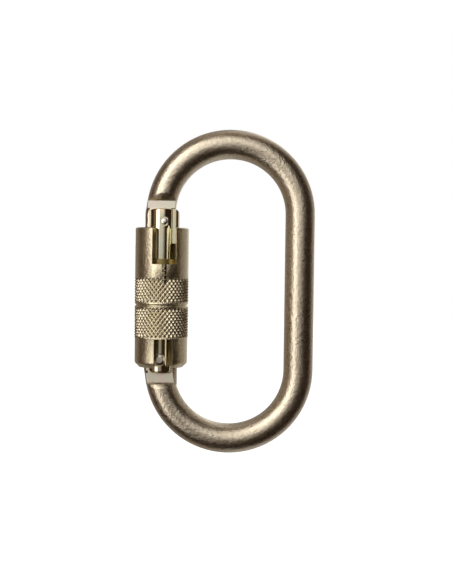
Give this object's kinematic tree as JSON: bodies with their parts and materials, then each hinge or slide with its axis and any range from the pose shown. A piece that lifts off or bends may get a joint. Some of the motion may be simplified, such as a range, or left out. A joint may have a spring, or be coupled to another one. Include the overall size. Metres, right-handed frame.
{
  "type": "locking carabiner",
  "caption": "Symmetric oval steel carabiner of round bar with a sprung inward-opening gate and a knurled self-closing twist-lock sleeve around the gate.",
  "frame": {"origin": "centre of the oval, midway between the two crowns and between the centre lines of the two legs, in the middle of the bar", "axes": "+Z from the hinge end to the nose end, +X from the gate to the spine, front towards -Y"},
  "size_m": [0.0612, 0.0184, 0.1104],
  "materials": {
    "bar_zinc": "satin yellow zinc over a blasted round bar",
    "barrel_zinc": "glossy yellow zinc on a turned barrel",
    "sleeve_zinc": "matte blasted yellow zinc, two diamond knurled bands",
    "rivet_steel": "bright steel rivet ends",
    "collar_zinc": "satin olive-gold zinc",
    "spring_steel": "bright spring wire"
  },
  "bodies": {
    "frame": {"frame": "bar_zinc"},
    "gate": {"gate_barrel": "barrel_zinc", "latch_rivet": "rivet_steel", "hinge_rivet": "rivet_steel", "gate_return_spring": "spring_steel", "spring_collar": "collar_zinc", "sleeve_stop_pin": "rivet_steel", "thrust_washer": "collar_zinc", "snap_ring": "spring_steel"},
    "plunger": {"gate_plunger": "rivet_steel"},
    "sleeve": {"locking_sleeve": "sleeve_zinc", "sleeve_torsion_spring": "spring_steel"}
  },
  "joints": [
    {"name": "gate_swing", "type": "hinge", "parent": "frame", "child": "gate", "pos_m": [-0.02357, 0, -0.0233], "axis": [0, 1, 0], "range_deg": [0, 27], "stiffness_Nm_per_rad": 0.2, "springref_deg": -68.75},
    {"name": "sleeve_twist", "type": "hinge", "parent": "gate", "child": "sleeve", "pos_m": [-0.02332, 0, 0], "axis": [0, 0, 1], "range_deg": [0, 81], "stiffness_Nm_per_rad": 0.02, "springref_deg": -85.94, "deforming": ["sleeve_torsion_spring"]},
    {"name": "plunger_slide", "type": "slide", "parent": "gate", "child": "plunger", "axis": [0, 0, 1], "range_m": [0, 0.00121], "deforming": ["gate_return_spring"]}
  ],
  "couplings": [
    {"joint": "sleeve_twist", "follows": "gate_swing", "ratio": 3},
    {"joint": "plunger_slide", "follows": "gate_swing", "m_per_rad": 0.0025465}
  ]
}
